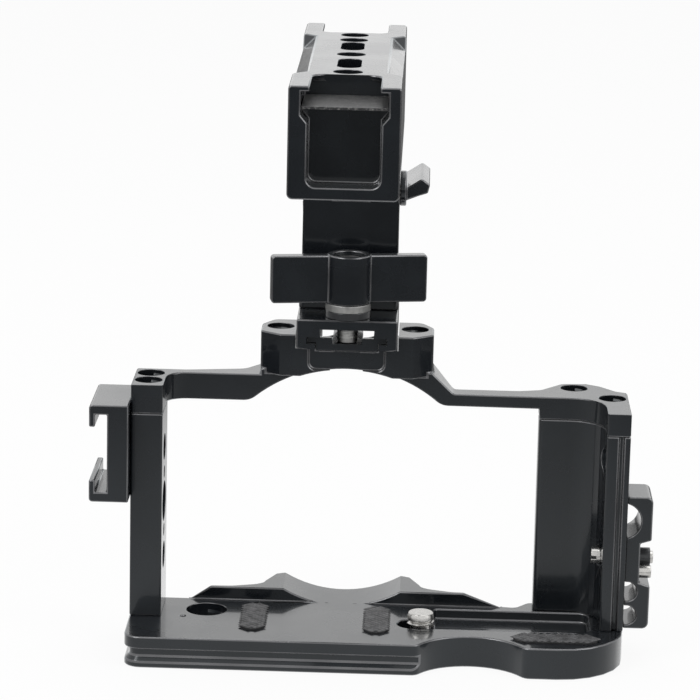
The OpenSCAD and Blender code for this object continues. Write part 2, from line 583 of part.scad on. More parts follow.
module jack_screw() color([0.75, 0.75, 0.77]) translate([0, knob_y, 0]) difference() {
  union() {
    translate([0, 0, 72.56]) cylinder(h = 16, r = jack_r);
    translate([0, 0, knob_z[1] - 5.7]) cylinder(h = 4.6, r = 3.5);
  }
  translate([0, 0, knob_z[1] - 3.5]) cylinder(h = 5, r = 2, $fn = 6);
}

// ---- handle bar ----

module bar_end_shoe(y0, y1, back, gap) {
  // y0 mouth, y1 closed end, both along +Y from the mouth
  box([-shoe_half, y0, bar_shoe_floor - liner_t], [shoe_half, y1, bar_lip]);
  plan([[-gap, y0, 0], [gap, y0, 0], [gap, y1, back], [-gap, y1, back]], bar_shoe_floor, bar_z[1] + 1);
}
module bar_pocket(y0, y1)
  front([[-7.9, bar_z[0] + 2.7, 2], [7.9, bar_z[0] + 2.7, 2], [7.9, bar_z[1] - 8, 0], [shoe_half, bar_z[1] - 6.3, 0],
         [shoe_half, bar_shoe_floor, 0], [-shoe_half, bar_shoe_floor, 0], [-shoe_half, bar_z[1] - 6.3, 0], [-7.9, bar_z[1] - 8, 0]], y0, y1);

// chamfer between the housings, running out at 45 degrees
module grip_cut() hull() {
  front([[bar_half + 0.01, bar_z[1] - grip_cham, 0], [bar_half + 0.01, bar_z[1] + 0.01, 0], [bar_half - grip_cham, bar_z[1] + 0.01, 0]],
        rear_house + grip_cham, front_house - e);
  translate([bar_half, rear_house, bar_z[1]]) cube(0.01);
  translate([bar_half, front_house + grip_cham, bar_z[1]]) cube(0.01);
}

module handle_bar() color([0.09, 0.09, 0.1]) difference() {
  front([[-bar_half, bar_z[0], 1.2], [bar_half, bar_z[0], 1.2], [bar_half, bar_z[1], 0.7], [-bar_half, bar_z[1], 0.7]], bar_y[0], bar_y[1]);
  grip_cut();
  mirror([1, 0, 0]) grip_cut();
  bar_end_shoe(bar_y[0] - 1, bar_y[0] + bar_shoe_l[0], 3, 7.5);
  mirror([0, 1, 0]) bar_end_shoe(-bar_y[1] - 1, -bar_y[1] + bar_shoe_l[1], 3, 7.7);
  bar_pocket(bar_y[0] - 1, bar_y[0] + pocket_d);
  bar_pocket(bar_y[1] - pocket_d, bar_y[1] + 1);
  for (i = [0:3]) translate([0, bar_holes[i], bar_z[1] - bar_hole_d[i]]) cylinder(h = 12, r = r14);
  stadium(-2.65, 2.65, -2.7, 10.4, bar_z[1] - 8, bar_z[1] + 1);
  stadium(-2.65, 2.65, -30, -15.7, bar_z[1] - 8, bar_z[1] + 1);
  for (y = lug_screw_y) translate([0, y, bar_z[0] - 1]) cylinder(h = lug_grip + 3, r = 1.55, $fn = 32);
}

lug_screw_y = [tilt_y - 7.6, tilt_y + 7.6];
lug_z = bar_z[0] - 3;
lug_grip = 6;        // screw length in the bar
module tilt_lug() color([0.09, 0.09, 0.1]) difference() {
  union() {
    translate([0, tilt_y, tilt_z]) along_x(-4, 4, 4.7, $fn = 64);
    box([-4, tilt_y - 4.4, tilt_z], [4, tilt_y + 4.4, lug_z + 1]);
    plan([[-8, tilt_y - 10.6, 1.5], [8, tilt_y - 10.6, 1.5], [8, tilt_y + 10.6, 1.5], [-8, tilt_y + 10.6, 1.5]], lug_z, bar_z[0]);
  }
  translate([0, tilt_y, tilt_z]) along_x(-6, 6, 2.55);
  for (y = lug_screw_y) translate([0, y, lug_z - 1]) cylinder(h = 9, r = 1.6, $fn = 32);
}
module lug_screws() color([0.12, 0.12, 0.12]) for (y = lug_screw_y) translate([0, y, lug_z]) socket_screw(1.5, 3 + lug_grip, 2.6, 1.9);

module shoe_liner(y0, y1) box([-shoe_half + 0.15, y0, bar_shoe_floor - liner_t], [shoe_half - 0.15, y1, bar_shoe_floor]);
module rear_shoe_liner() color([0.6, 0.6, 0.6]) shoe_liner(bar_y[0] + 0.3, bar_y[0] + bar_shoe_l[0] - 0.2);
module front_shoe_liner() color([0.6, 0.6, 0.6]) shoe_liner(bar_y[1] - bar_shoe_l[1] + 0.2, bar_y[1] - 0.3);

bottom_plate();
left_side_plate();
right_side_plate();
top_frame();
side_shoe();
shoe_screws_upper();
shoe_screws_lower();
left_base_screws();
right_base_screws();
right_top_screw();
grip_pad_left();
grip_pad_middle();
grip_pad_right();
slot_washer();
camera_screw();
screw_ring();
clamp_jaw();
clamp_nut();
clamp_screw();
clamp_guide_pins();
handle_foot();
foot_bolts();
handle_post();
tilt_pin();
knob_washer();
lock_ring();
wing_knob();
jack_screw();
clamp_lever();
handle_bar();
tilt_lug();
lug_screws();
rear_shoe_liner();
front_shoe_liner();
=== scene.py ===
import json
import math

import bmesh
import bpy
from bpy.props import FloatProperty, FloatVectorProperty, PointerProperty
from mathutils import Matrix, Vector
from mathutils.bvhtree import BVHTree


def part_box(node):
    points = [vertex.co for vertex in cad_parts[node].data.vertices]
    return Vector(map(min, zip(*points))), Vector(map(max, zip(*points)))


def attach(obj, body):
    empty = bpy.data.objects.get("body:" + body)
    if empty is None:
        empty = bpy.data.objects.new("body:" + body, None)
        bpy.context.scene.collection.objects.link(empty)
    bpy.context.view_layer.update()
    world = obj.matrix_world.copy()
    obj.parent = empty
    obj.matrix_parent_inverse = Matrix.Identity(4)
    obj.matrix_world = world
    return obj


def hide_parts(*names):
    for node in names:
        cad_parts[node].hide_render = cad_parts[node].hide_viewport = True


bl_info = {
    "name": "Camera cage dressing",
    "version": (1, 0, 0),
    "blender": (4, 5, 0),
    "location": "View3D > Sidebar > Camera cage",
    "description": "Finishes a machined camera cage and its top handle over their solid model",
    "category": "Object",
}

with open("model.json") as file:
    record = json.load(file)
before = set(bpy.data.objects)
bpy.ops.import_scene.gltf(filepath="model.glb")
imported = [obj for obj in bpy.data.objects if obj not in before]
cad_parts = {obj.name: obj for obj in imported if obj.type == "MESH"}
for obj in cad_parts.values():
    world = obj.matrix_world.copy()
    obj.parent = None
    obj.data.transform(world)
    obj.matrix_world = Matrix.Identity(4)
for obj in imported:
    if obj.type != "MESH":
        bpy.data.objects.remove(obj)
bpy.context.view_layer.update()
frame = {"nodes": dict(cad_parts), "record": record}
MM = 0.001
SHARP = math.radians(32)  # edges over this are broken, walls under it are curved
TINY_BREAK = 0.12 * MM  # what a rim or a thin wall can take

# ---------------------------------------------------------------- settings


class CageMetal(bpy.types.PropertyGroup):
    edge: FloatProperty(
        name="Edge break", description="Width of the broken edges of the large pieces",
        default=0.32 * MM, unit="LENGTH")
    fine_edge: FloatProperty(
        name="Fine edge break", description="Width of the broken edges of small pieces",
        default=0.15 * MM, unit="LENGTH")
    black: FloatVectorProperty(
        name="Anodising", description="Colour of the black anodised surfaces",
        default=(0.008, 0.0095, 0.012), subtype="COLOR")
    # edge tone: half rubbed anodising, made lighter as a painted highlight along the broken edges
    worn: FloatVectorProperty(
        name="Edge tone", description="Colour of the half rubbed anodising along broken edges",
        default=(0.125, 0.125, 0.13), subtype="COLOR")
    ring: FloatVectorProperty(
        name="Ring steel", description="Colour of the locking ring and the jack screw",
        default=(0.42, 0.42, 0.41), subtype="COLOR")
    steel: FloatVectorProperty(
        name="Bright steel", description="Colour of the bright screws, pins and washers",
        default=(0.62, 0.61, 0.59), subtype="COLOR")
    oxide: FloatVectorProperty(
        name="Black oxide", description="Colour of the black fixing screws and the knob washer",
        default=(0.03, 0.03, 0.032), subtype="COLOR")


class CageThreads(bpy.types.PropertyGroup):
    pitch: FloatProperty(
        name="Pitch", description="Pitch of the quarter inch threads and the smaller ones",
        default=1.27 * MM, unit="LENGTH")
    depth: FloatProperty(
        name="Depth", description="Height of the thread ridge over the bore wall",
        default=0.6 * MM, unit="LENGTH")
    large_pitch: FloatProperty(
        name="Large pitch", description="Pitch of the three eighths thread",
        default=1.59 * MM, unit="LENGTH")


class CageRubber(bpy.types.PropertyGroup):
    tile: FloatProperty(
        name="Tile", description="Pitch of the raised diamonds on the grip strips",
        default=1.15 * MM, unit="LENGTH")
    rise: FloatProperty(
        name="Rise", description="Height of the raised diamonds",
        default=0.16 * MM, unit="LENGTH")
    colour: FloatVectorProperty(
        name="Rubber", description="Colour of the grip strips",
        default=(0.010, 0.010, 0.011), subtype="COLOR")
    # diamonds: lighter than the strip's rubber, a painted highlight on the raised diamond tops
    diamond_highlight: FloatVectorProperty(
        name="Diamonds", description="Colour of the raised diamonds",
        default=(0.060, 0.060, 0.062), subtype="COLOR")


class CageStage(bpy.types.PropertyGroup):
    lens: FloatProperty(
        name="Lens", description="Focal length of the camera in millimetres",
        default=167.5)
    place: FloatVectorProperty(
        name="Camera place", description="Where the camera stands",
        default=(0.0172, -0.7358, 0.2492), subtype="TRANSLATION")
    yaw: FloatProperty(
        name="Yaw", description="Turn of the camera to the left, in degrees",
        default=1.26)
    pitch: FloatProperty(
        name="Pitch", description="Camera looks down by this angle, in degrees",
        default=13.40)
    roll: FloatProperty(
        name="Roll", description="Roll of the camera, in degrees",
        default=1.32)


def settings(group):
    return getattr(bpy.context.scene, "cage_" + group)


# ---------------------------------------------------------------- finishes


class Graph:
    """A material's node tree, with short calls to add and join nodes."""

    def __init__(self, name):
        self.material = bpy.data.materials.new(name)
        self.material.use_nodes = True
        self.tree = self.material.node_tree
        self.tree.nodes.clear()
        self.out = self.add("ShaderNodeOutputMaterial")
        self.shader = self.add("ShaderNodeBsdfPrincipled")
        self.join(self.shader, "BSDF", self.out, "Surface")
        self.coords = self.add("ShaderNodeTexCoord")

    def add(self, kind, **values):
        node = self.tree.nodes.new(kind)
        for key, value in values.items():
            setattr(node, key, value)
        return node

    def join(self, a, out, b, into):
        self.tree.links.new(a.outputs[out], b.inputs[into])

    def noise(self, scale, detail=3.0, rough=0.55):
        node = self.add("ShaderNodeTexNoise")
        node.inputs["Scale"].default_value = scale
        node.inputs["Detail"].default_value = detail
        node.inputs["Roughness"].default_value = rough
        self.join(self.coords, "Object", node, "Vector")
        return node

    def spread(self, source, out, low, high, a=0.35, b=0.65):
        node = self.add("ShaderNodeMapRange")
        for key, value in (("From Min", a), ("From Max", b), ("To Min", low), ("To Max", high)):
            node.inputs[key].default_value = value
        self.join(source, out, node, "Value")
        return node

    def colours(self, source, out, low, high, a=0.3, b=0.7):
        node = self.add("ShaderNodeValToRGB")
        node.color_ramp.elements[0].position, node.color_ramp.elements[1].position = a, b
        node.color_ramp.elements[0].color = (*low, 1)
        node.color_ramp.elements[1].color = (*high, 1)
        self.join(source, out, node, "Fac")
        return node

    def bump(self, source, out, strength, distance):
        node = self.add("ShaderNodeBump")
        node.inputs["Strength"].default_value = strength
        node.inputs["Distance"].default_value = distance
        self.join(source, out, node, "Height")
        self.join(node, "Normal", self.shader, "Normal")


def anodised(name, colour, rough=(0.22, 0.32), bare=0.0):
    """Bead-blasted, black anodised aluminium with a sealed skin, or rubbed partly bare, which on broken edges
    is made lighter as a painted highlight too.

    Two weak layers of gloss leave faces dark when seen square on, and bright at a glance.
    """
    weak_gloss = 1.34
    g = Graph(name)
    g.shader.inputs["Metallic"].default_value = bare
    cloud = g.noise(60, 4)
    tone = g.colours(cloud, "Fac", [c * 0.8 for c in colour], [c * 1.25 for c in colour])
    g.join(tone, "Color", g.shader, "Base Color")
    g.join(g.spread(cloud, "Fac", *rough), "Result", g.shader, "Roughness")
    g.bump(g.noise(3600, 2), "Fac", 0.10, 0.00006)
    g.shader.inputs["IOR"].default_value = weak_gloss
    g.shader.inputs["Specular Tint"].default_value = (0.86, 0.96, 1.0, 1)
    g.shader.inputs["Coat Weight"].default_value = 1.0
    g.shader.inputs["Coat Roughness"].default_value = 0.08
    g.shader.inputs["Coat IOR"].default_value = weak_gloss
    return g.material


def rubber(name, colour):
    """Moulded rubber with a fine grain."""
    g = Graph(name)
    grain = g.noise(2600, 3)
    tone = g.colours(g.noise(500, 3), "Fac", [c * 0.6 for c in colour], [c * 2.2 for c in colour])
    g.join(tone, "Color", g.shader, "Base Color")
    g.join(g.spread(grain, "Fac", 0.5, 0.75), "Result", g.shader, "Roughness")
    g.bump(grain, "Fac", 0.4, 0.0001)
    return g.material


def steel(name, colour, rough=(0.2, 0.34)):
    """Turned steel with faint streaks."""
    g = Graph(name)
    g.shader.inputs["Metallic"].default_value = 1.0
    streak = g.noise(900, 5, 0.7)
    tone = g.colours(streak, "Fac", [c * 0.8 for c in colour], colour)
    g.join(tone, "Color", g.shader, "Base Color")
    g.join(g.spread(streak, "Fac", *rough), "Result", g.shader, "Roughness")
    g.bump(streak, "Fac", 0.08, 0.00005)
    return g.material


def worn_floor(name):
    """Shoe floor rubbed through the black in small specks."""
    g = Graph(name)
    speck = g.noise(2400, 6, 0.8)
    tone = g.colours(speck, "Fac", (0.03, 0.03, 0.032), (0.33, 0.33, 0.32), 0.50, 0.66)
    g.join(tone, "Color", g.shader, "Base Color")
    g.join(g.spread(speck, "Fac", 0.3, 0.5), "Result", g.shader, "Roughness")
    g.shader.inputs["Metallic"].default_value = 0.35
    g.bump(speck, "Fac", 0.2, 0.00005)
    return g.material


FINISH = {}


def finish(name):
    """One of this cage's finishes, made the first time it is asked for."""
    metal, soft = settings("metal"), settings("rubber")
    makers = {
        "anodised black": lambda n: anodised(n, metal.black),
        # broken edges: rubbed anodising whose light tone is also a painted highlight
        "anodised edge wear and painted highlight": lambda n: anodised(n, metal.worn, (0.2, 0.3), 0.6),
        "bright steel": lambda n: steel(n, metal.steel),
        "ring steel": lambda n: steel(n, metal.ring, (0.38, 0.5)),
        "black oxide": lambda n: anodised(n, metal.oxide, (0.3, 0.45)),
        "grip rubber": lambda n: rubber(n, soft.colour),
        # raised diamonds: rubber lightened as a painted highlight
        "strip diamonds painted highlight": lambda n: rubber(n, soft.diamond_highlight),
        "worn shoe floor": worn_floor,
    }
    if name not in FINISH:
        FINISH[name] = makers[name](name)
    return FINISH[name]


# ---------------------------------------------------------------- shapes


def body_of(node):
    for body, names in frame["record"]["behaviour"]["bodies"].items():
        if node in names:
            return body
    raise ValueError(node)


def everything(bm):
    return bm.verts[:] + bm.edges[:] + bm.faces[:]


def solid(node):
    """A clean copy of one solid's faces: corners merged, and flat faces made whole."""
    same, flat = 0.0015 * MM, math.radians(0.4)
    bm = bmesh.new()
    bm.from_mesh(frame["nodes"][node].data)
    bmesh.ops.remove_doubles(bm, verts=bm.verts, dist=same)
    bmesh.ops.dissolve_limit(bm, angle_limit=flat, verts=bm.verts, edges=bm.edges)
    return bm


HOLES = [(Vector(m["pos_m"]), Vector(m["axis"]), m["dims"]["r_mm"] * MM)
         for m in frame["record"]["mounts"] if "r_mm" in m.get("dims", {})]


def at_hole(p):
    """True on the rim of a round hole, where the wall beside it can be thin."""
    slack = 0.06 * MM
    return any(abs((p - at - axis * (p - at).dot(axis)).length - r) < slack for at, axis, r in HOLES)


def nowhere(p):
    return False


def soften(bm, width, crisp=nowhere, thin=nowhere):
    """Breaks the sharp edges and gives the new faces the second material.

    Edges whose middle is crisp stay, and those at a hole or a thin wall get a small break.
    """
    skin = BVHTree.FromBMesh(bm)
    for fine in (True, False):
        sharp = []
        for e in bm.edges:
            middle = (e.verts[0].co + e.verts[1].co) / 2
            if (len(e.link_faces) == 2 and e.calc_face_angle(0.0) > SHARP and not crisp(middle)
                    and (at_hole(middle) or thin(middle)) == fine
                    and not any(f.material_index for f in e.link_faces)):
                sharp.append(e)
        if sharp:
            new = bmesh.ops.bevel(
                bm, geom=sharp, offset=min(width, TINY_BREAK) if fine else width, offset_type="OFFSET",
                affect="EDGES", segments=2, profile=0.5, material=-1, clamp_overlap=False)["faces"]
            for f in new:
                f.material_index = 1
    stray = 0.6 * width
    for v in bm.verts:
        near, _, _, off = skin.find_nearest(v.co)
        if off > stray:  # a corner that shot past the skin, where two breaks meet at a shallow angle
            v.co = near
    shade(bm, {f for f in bm.faces if f.material_index})


def shade(bm, broken=()):
    """Curved walls and broken edges shade smooth, flat faces stay flat.

    A face with many corners is a flat one with holes or curves in its outline.
    """
    level, crease, most_corners = math.radians(0.5), math.radians(60), 12
    for f in bm.faces:
        f.smooth = f in broken or len(f.verts) <= most_corners and any(
            len(e.link_faces) == 2 and level < e.calc_face_angle(0.0) < SHARP
            and not any(n in broken for n in e.link_faces)
            for e in f.edges)
    for e in bm.edges:
        if len(e.link_faces) == 2:
            a, b = e.link_faces
            e.smooth = (a in broken) == (b in broken) and e.calc_face_angle(0.0) < crease


def piece(name, bm, body, *finishes, stands_for=()):
    """Makes an object of a finished mesh, riding on one body.

    The first finish is that of the faces, and the second that of the broken edges.
    """
    mesh = bpy.data.meshes.new(name)
    bm.to_mesh(mesh)
    bm.free()
    for f in finishes:
        mesh.materials.append(finish(f))
    obj = bpy.data.objects.new(name, mesh)
    bpy.context.scene.collection.objects.link(obj)
    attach(obj, body)
    if stands_for:
        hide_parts(*stands_for)


def split(bm, *cuts):
    """Splits wide flat faces across X at some millimetres, so that no face runs round a hole."""
    for x in cuts:
        bmesh.ops.bisect_plane(bm, geom=everything(bm), plane_co=(x * MM, 0, 0), plane_no=(1, 0, 0), dist=1e-7)


def dress(node, width, finish_name="anodised black", crisp=nowhere, thin=nowhere, cuts=()):
    """Puts a finished copy, with broken edges, in the place of one solid."""
    bm = solid(node)
    split(bm, *cuts)
    soften(bm, width, crisp=crisp, thin=thin)
    # broken edges of black pieces take the lighter tone, wear and painted highlight in one
    edge_name = "anodised edge wear and painted highlight" if finish_name == "anodised black" else finish_name
    piece(node + "_finished", bm, body_of(node), finish_name, edge_name, stands_for=(node,))


def place(bm, centre, axis):
    """Turns a shape made along +Z onto an axis through a point."""
    turn = Vector((0, 0, 1)).rotation_difference(Vector(axis)).to_matrix().to_4x4()
    bmesh.ops.transform(bm, matrix=Matrix.Translation(Vector(centre)) @ turn, verts=bm.verts)


def helix(radius, ridge, length, pitch, steps=20):
    """A thread ridge along +Z; ridge is positive for a bolt and negative for a nut."""
    bm = bmesh.new()
    root, crest = pitch * 0.42, pitch * 0.06  # half the ridge's width at its foot and at its top
    corners = [bm.verts.new((radius, 0, -root)), bm.verts.new((radius + ridge, 0, -crest)),
               bm.verts.new((radius + ridge, 0, crest)), bm.verts.new((radius, 0, root))]
    edges = [bm.edges.new((corners[i], corners[(i + 1) % 4])) for i in range(4)]
    turns = max(1.0, (length - 2 * root) / pitch)
    count = int(steps * turns)
    bmesh.ops.spin(
        bm, geom=corners + edges, cent=(0, 0, 0), axis=(0, 0, 1), dvec=(0, 0, pitch * turns / count),
        angle=2 * math.pi * turns, steps=count, use_merge=False, use_duplicate=False)
    bmesh.ops.holes_fill(bm, edges=[e for e in bm.edges if e.is_boundary], sides=4)
    bmesh.ops.translate(bm, vec=(0, 0, root), verts=bm.verts)
    bmesh.ops.recalc_face_normals(bm, faces=bm.faces)
    crease = math.radians(35)
    for f in bm.faces:
        f.smooth = True
    for e in bm.edges:
        e.smooth = not (len(e.link_faces) == 2 and e.calc_face_angle(0.0) > crease)
    return bm


def joined(parts):
    """Several shapes in one."""
    whole = bmesh.new()
    for part in parts:
        mesh = bpy.data.meshes.new("part")
        part.to_mesh(mesh)
        part.free()
        whole.from_mesh(mesh)
        bpy.data.meshes.remove(mesh)
    return whole


# ---------------------------------------------------------------- pieces


GRIPS = ("grip_pad_left", "grip_pad_middle", "grip_pad_right")
BLACK_FIXINGS = ("shoe_screws_upper", "shoe_screws_lower", "left_base_screws", "right_base_screws",
                 "right_top_screw", "foot_bolts", "lug_screws", "knob_washer")


class CagePiece:
    bl_options = {"REGISTER", "UNDO"}


class CAGE_OT_base_plate(CagePiece, bpy.types.Operator):
    """Base plate with its lip, groove and screw slot"""
    bl_idname = "cage.base_plate"
    bl_label = "Base plate"

    def execute(self, context):
        strips = [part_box(node) for node in GRIPS]
        below, beside = 0.1 * MM, 0.3 * MM

        def at_strip(p):
            """The pockets of the grip strips fit them closely and keep their edges."""
            return any(p.z > low[2] - below and all(low[i] - beside < p[i] < high[i] + beside for i in (0, 1))
                       for low, high in strips)

        dress("bottom_plate", settings("metal").edge, crisp=at_strip)
        return {"FINISHED"}


class CAGE_OT_side_plates(CagePiece, bpy.types.Operator):
    """Left and right side plates"""
    bl_idname = "cage.side_plates"
    bl_label = "Side plates"

    def execute(self, context):
        for node in ("left_side_plate", "right_side_plate"):
            dress(node, settings("metal").edge)
        return {"FINISHED"}


class CAGE_OT_top_frame(CagePiece, bpy.types.Operator):
    """Arched top frame with its handle platform"""
    bl_idname = "cage.top_frame"
    bl_label = "Top frame"

    hole_line, block_side, mid_beam = -46.25, -42.2, -30  # where the left block and its beam are split

    def execute(self, context):
        dress("top_frame", settings("metal").edge, crisp=self.at_rail, thin=self.at_block,
              cuts=(self.hole_line, self.block_side, self.mid_beam))
        return {"FINISHED"}

    def at_block(self, p):
        """The tops of the left and right blocks, whose holes leave thin walls."""
        return (p.x < -42 * MM and p.z > 63 * MM) or (p.x > 59 * MM and p.z > 60 * MM)

    def at_rail(self, p):
        """The rail that the foot slides on, whose edges run close to the foot's."""
        return abs(p.x) < 12.2 * MM and p.z > 71 * MM


class CAGE_OT_side_shoe(CagePiece, bpy.types.Operator):
    """Accessory shoe on the left plate"""
    bl_idname = "cage.side_shoe"
    bl_label = "Side shoe"

    def execute(self, context):
        dress("side_shoe", settings("metal").edge)
        return {"FINISHED"}


class CAGE_OT_fixings(CagePiece, bpy.types.Operator):
    """Black socket screws that hold the cage together, and the knob's washer"""
    bl_idname = "cage.fixings"
    bl_label = "Fixing screws"

    def execute(self, context):
        for node in BLACK_FIXINGS:
            dress(node, settings("metal").fine_edge, "black oxide")
        return {"FINISHED"}


class CAGE_OT_grip_strips(CagePiece, bpy.types.Operator):
    """Rubber strips with raised diamonds"""
    bl_idname = "cage.grip_strips"
    bl_label = "Grip strips"

    strip_break = 0.08 * MM

    def execute(self, context):
        soft = settings("rubber")
        for node in GRIPS:
            dress(node, self.strip_break, "grip rubber")
            self.diamonds(node, soft.tile, soft.rise)
        return {"FINISHED"}

    def diamonds(self, node, tile, rise):
        """A turned grid, cut to the strip's outline, whose tiles are inset and raised."""
        low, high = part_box(node)
        centre = (Vector(low) + Vector(high)) / 2
        wide, long = (high[0] - low[0]) / 2, (high[1] - low[1]) / 2
        half, reach = min(wide, long), max(wide, long)
        count = int(2 * reach * 1.5 / tile)  # enough for the strip's length across the corners
        bm = bmesh.new()
        bmesh.ops.create_grid(bm, x_segments=count, y_segments=count, size=count * tile / 2,
                              matrix=Matrix.Rotation(math.radians(45), 4, "Z"))
        spine = Vector((reach - half, 0, 0)) if wide > long else Vector((0, reach - half, 0))
        sunk = 0.02 * MM

        def outside(p):
            along = max(-1.0, min(1.0, p.dot(spine) / spine.length_squared))
            return (p - spine * along).length > half - sunk

        far = [f for f in bm.faces if sum(outside(v.co) for v in f.verts) > 1]
        bmesh.ops.delete(bm, geom=far, context="FACES")
        bmesh.ops.inset_individual(bm, faces=bm.faces[:], thickness=tile * 0.17, depth=0, use_even_offset=True)
        tops = [f for f in bm.faces if f.calc_area() > 0.3 * tile * tile]
        bmesh.ops.translate(bm, vec=(0, 0, rise), verts=list({v for f in tops for v in f.verts}))
        bmesh.ops.solidify(bm, geom=bm.faces[:], thickness=-0.1 * MM)
        bmesh.ops.recalc_face_normals(bm, faces=bm.faces)
        bmesh.ops.translate(bm, vec=(centre.x, centre.y, high[2] - sunk), verts=bm.verts)
        shade(bm)
        # the raised diamonds take the lighter rubber, a painted highlight on their tops
        piece(node + "_diamonds", bm, body_of(node), "strip diamonds painted highlight")


class CAGE_OT_camera_screw(CagePiece, bpy.types.Operator):
    """Camera screw with its thread, knurled head, washer and folding ring"""
    bl_idname = "cage.camera_screw"
    bl_label = "Camera screw"

    def execute(self, context):
        screw = solid("camera_screw")
        low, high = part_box("camera_screw")
        x, y = (low[0] + high[0]) / 2, (low[1] + high[1]) / 2
        plain = high[2] - 1.6 * MM  # the smooth end starts here
        self.cut_root(screw, x, y, plain)
        soften(screw, settings("metal").fine_edge)
        ridge = helix(2.6 * MM, 0.57 * MM, 2.4 * MM, settings("threads").pitch, 28)
        place(ridge, (x, y, plain - 2.3 * MM), (0, 0, 1))
        knurl = self.knurl()
        place(knurl, (x, y, 0), (0, 0, 1))
        piece("camera_screw_finished", joined([screw, ridge, knurl]), "camera_screw", "bright steel",
              "bright steel", stands_for=("camera_screw",))
        dress("slot_washer", 0.06 * MM, "bright steel")
        dress("screw_ring", 0.05 * MM, "bright steel")
        return {"FINISHED"}

    def cut_root(self, screw, x, y, plain):
        """Draws the shaft in between the neck and its smooth end, where the ridge goes."""
        neck_end, neck_r, taper = 7.6 * MM, 3 * MM, 0.4 * MM
        for z in (plain, plain - taper):
            bmesh.ops.bisect_plane(screw, geom=everything(screw), plane_co=(0, 0, z), plane_no=(0, 0, 1))
        root = [v for v in screw.verts if neck_end - 0.1 * MM < v.co.z < plain - taper / 2
                and math.hypot(v.co.x - x, v.co.y - y) > neck_r]
        bmesh.ops.scale(screw, vec=(0.83, 0.83, 1), space=Matrix.Translation((-x, -y, 0)), verts=root)

    def knurl(self):
        """Ribs round the head under the plate."""
        head_r, middle, ribs = 6.6 * MM, 1.65 * MM, 60
        rib = bmesh.new()
        size = Matrix.Diagonal((0.3 * MM, 0.32 * MM, 2.2 * MM, 1))
        bmesh.ops.create_cube(rib, size=1, matrix=Matrix.Translation((head_r, 0, middle)) @ size)
        bmesh.ops.spin(rib, geom=everything(rib), cent=(0, 0, 0), axis=(0, 0, 1), angle=2 * math.pi,
                       steps=ribs, use_duplicate=True, use_merge=False)
        bmesh.ops.remove_doubles(rib, verts=rib.verts, dist=0.001 * MM)
        return rib


class CAGE_OT_cable_clamp(CagePiece, bpy.types.Operator):
    """Cable clamp jaw with its screw and guide pins"""
    bl_idname = "cage.cable_clamp"
    bl_label = "Cable clamp"

    def execute(self, context):
        fine = settings("metal").fine_edge
        dress("clamp_jaw", settings("metal").edge)
        dress("clamp_screw", fine, "bright steel")
        dress("clamp_nut", fine, "black oxide")
        dress("clamp_guide_pins", fine, "bright steel")
        return {"FINISHED"}


class CAGE_OT_handle_base(CagePiece, bpy.types.Operator):
    """Sliding foot, post, tilt pin and clamp lever"""
    bl_idname = "cage.handle_base"
    bl_label = "Handle base"

    def execute(self, context):
        dress("handle_foot", settings("metal").edge, crisp=self.at_slot)
        for node in ("handle_post", "clamp_lever"):
            dress(node, settings("metal").edge)
        dress("tilt_pin", settings("metal").fine_edge, "bright steel")
        return {"FINISHED"}

    def at_slot(self, p):
        """The slot under the foot, which keeps its edges as the rail in it does."""
        return abs(p.x) < 11.3 * MM and p.z < 78 * MM


class CAGE_OT_wing_knob(CagePiece, bpy.types.Operator):
    """Wing knob with its jack screw and the locking ring"""
    bl_idname = "cage.wing_knob"
    bl_label = "Wing knob"

    def execute(self, context):
        dress("wing_knob", settings("metal").edge)
        dress("jack_screw", settings("metal").fine_edge, "ring steel")
        low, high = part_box("jack_screw")
        shaft_r, ridge_height, length, pitch = 2.38 * MM, 0.16 * MM, 3.2 * MM, 0.8 * MM
        ridge = helix(shaft_r, ridge_height, length, pitch)
        place(ridge, ((low[0] + high[0]) / 2, (low[1] + high[1]) / 2, low[2] + 0.3 * MM), (0, 0, 1))
        piece("jack_screw_thread", ridge, body_of("jack_screw"), "ring steel")
        dress("lock_ring", TINY_BREAK, "ring steel")
        return {"FINISHED"}


class CAGE_OT_handle_bar(CagePiece, bpy.types.Operator):
    """Handle bar with a shoe at each end, and its tilt lug"""
    bl_idname = "cage.handle_bar"
    bl_label = "Handle bar"

    def execute(self, context):
        liner_break = 0.1 * MM
        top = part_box("handle_bar")[1][2]

        def at_top_holes(p):
            """The mouths of the holes and slots in the bar's top."""
            return abs(p.x) < 3.4 * MM and p.z > top - 0.5 * MM

        dress("handle_bar", settings("metal").edge, thin=at_top_holes)
        dress("tilt_lug", settings("metal").edge)
        for node in ("rear_shoe_liner", "front_shoe_liner"):
            dress(node, liner_break, "worn shoe floor")
        return {"FINISHED"}


class CAGE_OT_threads(CagePiece, bpy.types.Operator):
    """Thread ridges in every tapped hole"""
    bl_idname = "cage.threads"
    bl_label = "Threads"

    large_r = 4 * MM  # bores over this have the three eighths thread
    bite = 0.02 * MM  # how far a ridge's foot goes into the wall

    def middle(self, m, length):
        """Half way down a hole, whose noted place may be its mouth or any point of its axis."""
        at, axis = Vector(m["pos_m"]), Vector(m["axis"])
        if m["name"] == "tripod_socket":
            return at - axis * (length / 2)
        if m["name"].startswith("bar_"):
            at.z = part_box("handle_bar")[1][2] - length / 2
        return at

    def execute(self, context):
        threads = settings("threads")
        groups = {}
        for m in frame["record"]["mounts"]:
            if m["kind"] != "threaded_hole":
                continue
            r, length, axis = m["dims"]["r_mm"] * MM, m["dims"]["length_mm"] * MM, Vector(m["axis"])
            small = r < self.large_r
            pitch = threads.pitch if small else threads.large_pitch
            sunk = 0.8 * MM if small else 1.6 * MM  # plain lead-in at both ends
            ridge = helix(r + self.bite, -threads.depth - self.bite, length - 2 * sunk, pitch)
            place(ridge, self.middle(m, length) - axis * (length / 2 - sunk), m["axis"])
            groups.setdefault("handle" if m["name"].startswith("bar_") else "cage", []).append(ridge)
        for body, parts in groups.items():
            piece(body + "_threads", joined(parts), body, "anodised black")
        return {"FINISHED"}


